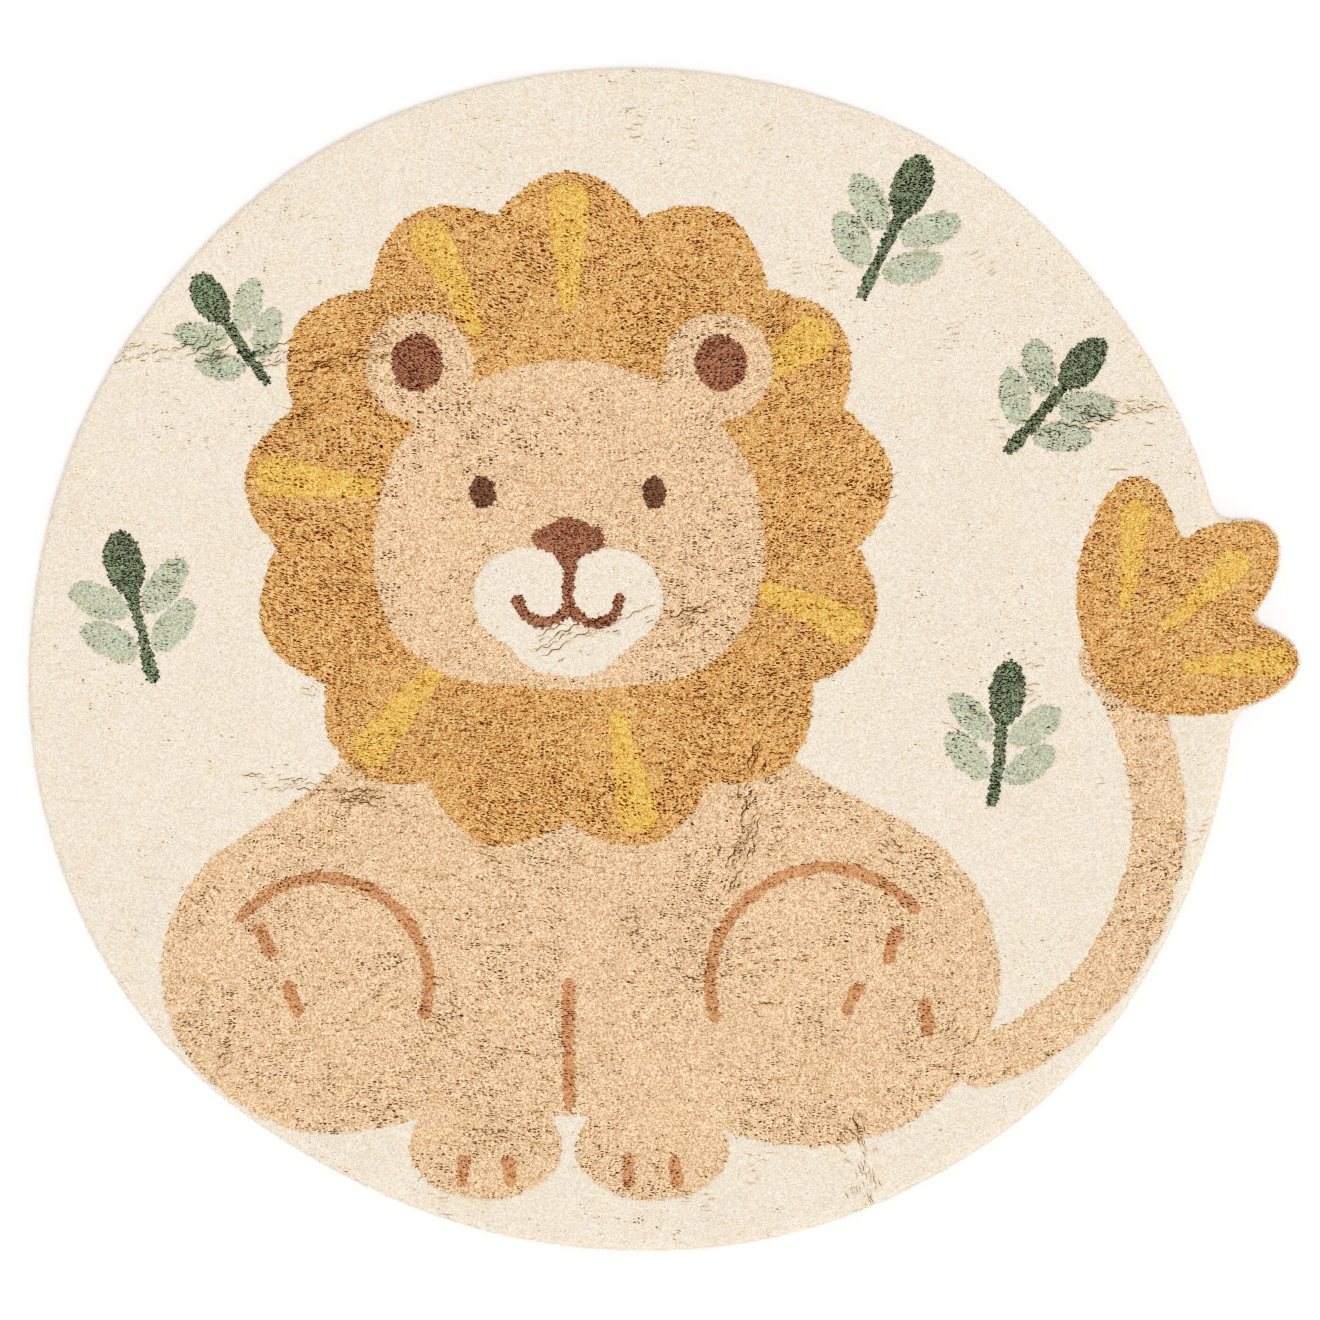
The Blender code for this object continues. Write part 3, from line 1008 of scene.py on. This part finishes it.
def yarn_material(name, tip, gap, grain, pitted):
    """Cut cotton pile: painted shade dark in the gaps and cracks, with tufts and fibres of uneven
    tone.
    """
    material, tree, surface = new_material(
        name, {"Sheen Weight": 0.02, "Sheen Roughness": 0.6})
    place = add_node(tree, "TexCoord").outputs["Object"]
    fibres, flecks, clouds = (noise(tree, place, *layer) for layer in YARN_NOISES)
    ends = add_node(tree, "TexVoronoi", [("Vector", place)], {"Scale": END_SCALE})
    ends = red_of(tree, ends.outputs["Color"])
    patches = remap(tree, noise(tree, place, HUE_SCALE, 3.0), *HUE_RANGE)
    hue = mix(tree, patches, tip, [part * shift for part, shift in zip(tip, HUE_SHIFT)])

    # How much light a place gives back, where 1 is the tip's own: tufts, fibres and
    # their ends differ.
    light = maths(tree, "MULTIPLY_ADD", attribute(tree, "tone"), 0.030 * grain, 1.0)
    for source, share in ((fibres, 0.25 + 0.50 * grain), (ends, 0.75 * grain),
                          (clouds, 0.06)):
        light = varied(tree, light, source, share)

    # Painted shade in the gaps and cracks: all of them go down to the gap shade colour, the
    # deepest below it.
    pit_depth_shade, pit_shade = small_gap_shade(tree, place, pitted)
    deep_shade = remap(tree, attribute(tree, "gap"), 0.45, 1.1, interpolation_type="SMOOTHSTEP")
    within, force = crack_here(tree, fibres)
    line = maths(tree, "MULTIPLY", remap(tree, within, *CRACK_EDGE), force)
    dark = maths(tree, "ADD", line, maths(tree, "ADD", pit_shade, deep_shade))
    dark = maths(tree, "MINIMUM", dark, 1.0)
    shade = maths(tree, "MULTIPLY_ADD", maths(tree, "MAXIMUM", pit_depth_shade, line), -DEEPEST_SHADE, 1.0)
    shade = maths(tree, "MULTIPLY_ADD", shade, gap[1] / tip[1], -1.0)
    light = maths(tree, "MULTIPLY", light, maths(tree, "MULTIPLY_ADD", dark, shade, 1.0))

    # Light that comes up from between the tufts has more of the yarn's own colour.
    light = maths(tree, "MAXIMUM", light, 0.01)
    above = maths(tree, "MAXIMUM", light, 1.0)
    fall = [math.log(low / high) for low, high in zip(gap, tip)]
    red, blue = (
        maths(tree, "MULTIPLY", maths(tree, "POWER", light, fall[k] / fall[1]),
              maths(tree, "POWER", above, paler))
        for k, paler in ((0, BRIGHT_RED), (2, BRIGHT_BLUE))
    )
    tint = add_node(tree, "CombineXYZ", [("X", red), ("Y", light), ("Z", blue)])
    near = maths(tree, "MULTIPLY", remap(tree, within, *GLOW_EDGE), force)
    glow = mix(tree, near, WHITE, GLOW_TINT)
    lit = vector_maths(tree, "MULTIPLY", [(0, hue), (1, tint.outputs[0])])
    lit = vector_maths(tree, "MULTIPLY", [(0, lit), (1, glow)])
    height = maths(tree, "MULTIPLY_ADD", flecks, 0.8, fibres)
    finish_surface(tree, surface, lit, height, 0.6, 0.0006)
    rough = maths(tree, "MULTIPLY_ADD", flecks, 0.20, 0.78)
    tree.links.new(rough, surface.inputs["Roughness"])
    return material


def cloth_material():
    """Plain woven cotton: thick threads over and under each other."""
    material, tree, surface = new_material("base_weave", {"Roughness": 0.92})
    place = add_node(tree, "TexCoord").outputs["Object"]
    parts = add_node(tree, "SeparateXYZ", [("Vector", place)])
    waves = [
        maths(tree, "SINE", maths(tree, "MULTIPLY", parts.outputs[axis], math.pi / THREAD_PITCH))
        for axis in ("X", "Y")
    ]
    threads = maths(tree, "ABSOLUTE", maths(tree, "MULTIPLY", *waves))
    fibres, clouds = noise(tree, place, 700.0, 3.0), noise(tree, place, 14.0, 3.0)
    # Painted shade where the threads dip under each other, besides their bump.
    light = maths(tree, "MULTIPLY_ADD", threads, 0.34, 0.66)
    light = varied(tree, light, fibres, 0.16)
    light = varied(tree, light, clouds, 0.10)
    lit = vector_maths(tree, "SCALE", [("Scale", light)], {0: CLOTH_COLOUR})
    height = maths(tree, "MULTIPLY_ADD", fibres, 0.35, threads)
    finish_surface(tree, surface, lit, height, 0.7, 0.0005)
    return material


# ---- Pieces


def link_object(name, content):
    thing = bpy.data.objects.new(name, content)
    bpy.context.scene.collection.objects.link(thing)
    return thing


def new_object(name, material):
    mesh = bpy.data.meshes.new(name)
    mesh.materials.append(material)
    return link_object(name, mesh)


def fill_mesh(mesh, places, triangles):
    mesh.vertices.add(len(places))
    mesh.vertices.foreach_set("co", places.astype(np.float32).ravel())
    mesh.loops.add(triangles.size)
    mesh.loops.foreach_set("vertex_index", triangles.astype(np.int32).ravel())
    mesh.polygons.add(len(triangles))
    mesh.polygons.foreach_set("loop_start", np.arange(0, triangles.size, 3, dtype=np.int32))
    mesh.update(calc_edges=True)
    mesh.shade_smooth()


def add_layer(mesh, key, domain, values):
    """Keeps a number or a vector for each point or corner, for the material."""
    kind, part = ("FLOAT", "value") if values.ndim == 1 else ("FLOAT_VECTOR", "vector")
    layer = mesh.attributes.new(key, kind, domain)
    layer.data.foreach_set(part, values.astype(np.float32).ravel())


def sharpen(mesh, chosen):
    """Sharp edges wherever both ends are chosen points."""
    ends = np.empty(len(mesh.edges) * 2, np.int32)
    mesh.edges.foreach_get("vertices", ends)
    sharp = mesh.attributes.new("sharp_edge", "BOOLEAN", "EDGE")
    sharp.data.foreach_set("value", chosen[ends.reshape(-1, 2)].all(1))


def add_flat_map(mesh, triangles, flat):
    """A texture map of the flat pattern, stretched to the piece's own box."""
    low, high = flat.min(0), flat.max(0)
    spread = 0.002 + 0.996 * (flat - low) / (high - low)
    layer = mesh.uv_layers.new(name="OFBake")
    layer.data.foreach_set("uv", spread[triangles.ravel()].astype(np.float32).ravel())


def pile_piece(name, pile, chosen, fibres, picked, material):
    """One piece of pile from the chosen tufts, with its own corners, and from the
    picked fibres of the rim."""
    rings = pile["rings"][chosen]
    tips = np.flatnonzero(chosen)
    used, ring_index = np.unique(rings, return_inverse=True)
    ring_index = ring_index.reshape(-1, 6) + len(tips)
    source = np.concatenate([tips, used])
    after = np.roll(ring_index, -1, axis=1)
    tip_index = np.repeat(np.arange(len(tips))[:, None], 6, axis=1)
    triangles = np.stack([tip_index, ring_index, after], -1).reshape(-1, 3)
    places, flat = pile["place"][source], pile["flat"][source]

    # The nearest crack of each tuft, for the material's painted dark line of shade.
    number = np.repeat(pile["crack"][tips], 18)
    crack = CRACKS[number]
    share, off = crack_frame(crack, *flat[triangles.ravel()].T)
    hold = np.where(number < 0, -1.0, crack[:, 6] * (1 - share**2))
    cracks = 1000 * np.stack([np.clip(off, -0.01, 0.01), np.maximum(hold, -0.01),
                              crack[:, 5] / 1000], -1)

    # The fibres come after the tufts.
    count = int(picked.sum())
    spikes = len(places) + 4 * np.arange(count)[:, None, None] + SPIKE[None]
    triangles = np.concatenate([triangles, spikes.reshape(-1, 3)])
    places = np.concatenate([places, fibres["place"][picked].reshape(-1, 3)])
    flat = np.concatenate([flat, fibres["flat"][picked].reshape(-1, 2)])
    cracks = np.concatenate([cracks, np.tile((0.0, -10.0, 0.0), (12 * count, 1))])
    of_fibres = {
        "gap": np.tile(FIBRE_GAP_SHADE, count),
        "tone": np.repeat(fibres["tone"][picked], 4),
        "stir": np.full(4 * count, 0.5),
    }
    nap = np.concatenate([pile["comb"][source], flat[len(source):]])

    thing = new_object(name, material)
    mesh = thing.data
    fill_mesh(mesh, places - (*MIDDLE, 0.0), triangles)
    for key, values in of_fibres.items():
        add_layer(mesh, key, "POINT", np.concatenate([pile[key][source], values]))
    add_layer(mesh, "crack", "CORNER", cracks)
    add_layer(mesh, "comb", "POINT", np.column_stack([nap, np.zeros(len(nap))]))
    order = np.arange(len(places))
    sharpen(mesh, (order >= len(tips)) & (order < len(source)))
    add_flat_map(mesh, triangles, flat)
    return thing


def outline_loop(count, inset):
    """Points round the outline at an inset, evenly spaced, counter-clockwise."""
    angles = np.linspace(0.0, 2 * math.pi, 4 * count, endpoint=False)
    rays = np.stack([np.cos(angles), np.sin(angles)], 1)
    near, far = (np.full((len(angles), 1), share * DISC_WIDTH) for share in (0.25, 1.0))
    for _ in range(40):
        middle = (near + far) / 2
        inside = outline(*(middle * rays).T)[:, None] < -inset
        near, far = np.where(inside, middle, near), np.where(inside, far, middle)
    loop = near * rays
    loop = np.vstack([loop, loop[:1]])
    along = np.concatenate([[0.0], np.cumsum(np.hypot(*np.diff(loop, axis=0).T))])
    wanted = np.linspace(0.0, along[-1], count, endpoint=False)
    return np.stack([np.interp(wanted, along, loop[:, k]) for k in range(2)], 1)


def make_base(material):
    """The base cloth: a thin closed slab, flat on the floor."""
    count, total = BASE_POINTS, len(BASE_RINGS) * BASE_POINTS + 1
    loop = outline_loop(count, BASE_INSET) - MIDDLE
    centre = loop.mean(0)
    flat = np.concatenate([*(centre + (loop - centre) * share for share in BASE_RINGS),
                           [centre]])
    low = np.column_stack([flat, np.zeros(total)])
    places = np.concatenate([low, low + (0.0, 0.0, BASE_THICKNESS)])

    # Faces between the rings, round the middle point, and along the edge.
    rings = np.arange(total - 1).reshape(-1, count)
    after = np.roll(rings, -1, axis=1)
    top = []
    for ring, follow, inner, inner_follow in zip(rings, after, rings[1:], after[1:]):
        top += [(ring, follow, inner_follow), (ring, inner_follow, inner)]
    top.append((rings[-1], after[-1], np.full(count, total - 1)))
    top = np.concatenate([np.stack(faces, -1) for faces in top])
    n, after = rings[0], after[0]
    edge = [np.stack([n, after + total, n + total], -1), np.stack([n, after, after + total], -1)]
    triangles = np.concatenate([top + total, top[:, ::-1], *edge])
    thing = new_object("base_cloth", material)
    fill_mesh(thing.data, places, triangles)
    sharpen(thing.data, np.arange(2 * total) % total < count)
    return thing


# ---- Stage


def make_floor():
    material, *_ = new_material("pale_floor", {
        "Roughness": 1.0, "Specular IOR Level": 0.0, "Base Color": (*[FLOOR_TONE] * 3, 1.0),
        "Emission Color": (*WHITE, 1.0), "Emission Strength": FLOOR_GLOW,
    })
    floor = new_object("floor", material)
    corners = np.array([(x * FLOOR_HALF, y * FLOOR_HALF, FLOOR_Z)
                        for x, y in ((-1, -1), (1, -1), (1, 1), (-1, 1))])
    fill_mesh(floor.data, corners, np.array([(0, 1, 2), (0, 2, 3)]))
    floor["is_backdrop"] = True


def add_sun():
    """A soft light from one side, as even over the rug as a far window's."""
    light = bpy.data.lights.new("soft_key", "SUN")
    light.angle, light.energy = math.radians(SUN_SPREAD), SUN_STRENGTH
    thing = link_object("soft_key", light)
    thing.rotation_euler = (-Vector(SUN_TOWARDS)).to_track_quat("-Z", "Y").to_euler()


def add_world():
    """Plain white light from all round, as in a light tent: more from the sides."""
    world = bpy.data.worlds.new("studio")
    world.use_nodes = True
    tree = world.node_tree
    background = tree.nodes["Background"]
    background.inputs["Color"].default_value = (*WHITE, 1.0)
    towards = add_node(tree, "TexCoord").outputs["Generated"]
    height = add_node(tree, "SeparateXYZ", [("Vector", towards)]).outputs["Z"]
    low = maths(tree, "SUBTRACT", 1.0, maths(tree, "MAXIMUM", height, 0.0))
    strength = maths(tree, "MULTIPLY_ADD", maths(tree, "MULTIPLY", low, low),
                     SKY_SIDES - SKY_OVERHEAD, SKY_OVERHEAD)
    tree.links.new(strength, background.inputs["Strength"])
    bpy.context.scene.world = world


def add_camera():
    """Straight above the rug, with the top of the picture towards +Y."""
    camera = bpy.data.cameras.new("camera")
    camera.sensor_width, camera.lens, camera.clip_end = SENSOR, LENS, 50.0
    thing = link_object("camera", camera)
    thing.location = (*VIEW_CENTRE, VIEW_WIDTH * LENS / SENSOR + THICKNESS)
    bpy.context.scene.camera = thing


rim = outline_loop(1500, 0.0)
MIDDLE = (rim.min(0) + rim.max(0)) / 2

pile, fibres = make_pile(), make_fibres()
pieces = []
for number, name in enumerate(YARN_NAMES):
    tip, gap, _, _, grain, pitted, slot = YARNS[name]
    material = yarn_material(f"pile_{name}_yarn", tip, gap, grain, pitted)
    parts = SPLIT.get(name, 1)
    cuts = np.quantile(pile["turn"][pile["yarn"] == number], np.linspace(0, 1, parts + 1))
    cuts[-1] = 1.0
    for k in range(parts):
        chosen, picked = ((own["yarn"] == number) & (own["turn"] >= cuts[k])
                          & (own["turn"] < cuts[k + 1]) for own in (pile, fibres))
        label = f"pile_{name}" if parts == 1 else f"pile_{name}_{k + 1}"
        piece = pile_piece(label, pile, chosen, fibres, picked, material)
        pieces.append(piece)

base = make_base(cloth_material())
for piece in [*pieces, base]:
    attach(piece, "root")
    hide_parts("rug")

make_floor()
add_world()
add_sun()
add_camera()
bpy.context.scene.view_settings.view_transform = "Standard"
bpy.context.scene.cycles.filter_width = 1.2  # pixels: as crisp as the photo

[[list(corner) for corner in box] for box in (cad_box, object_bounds())]
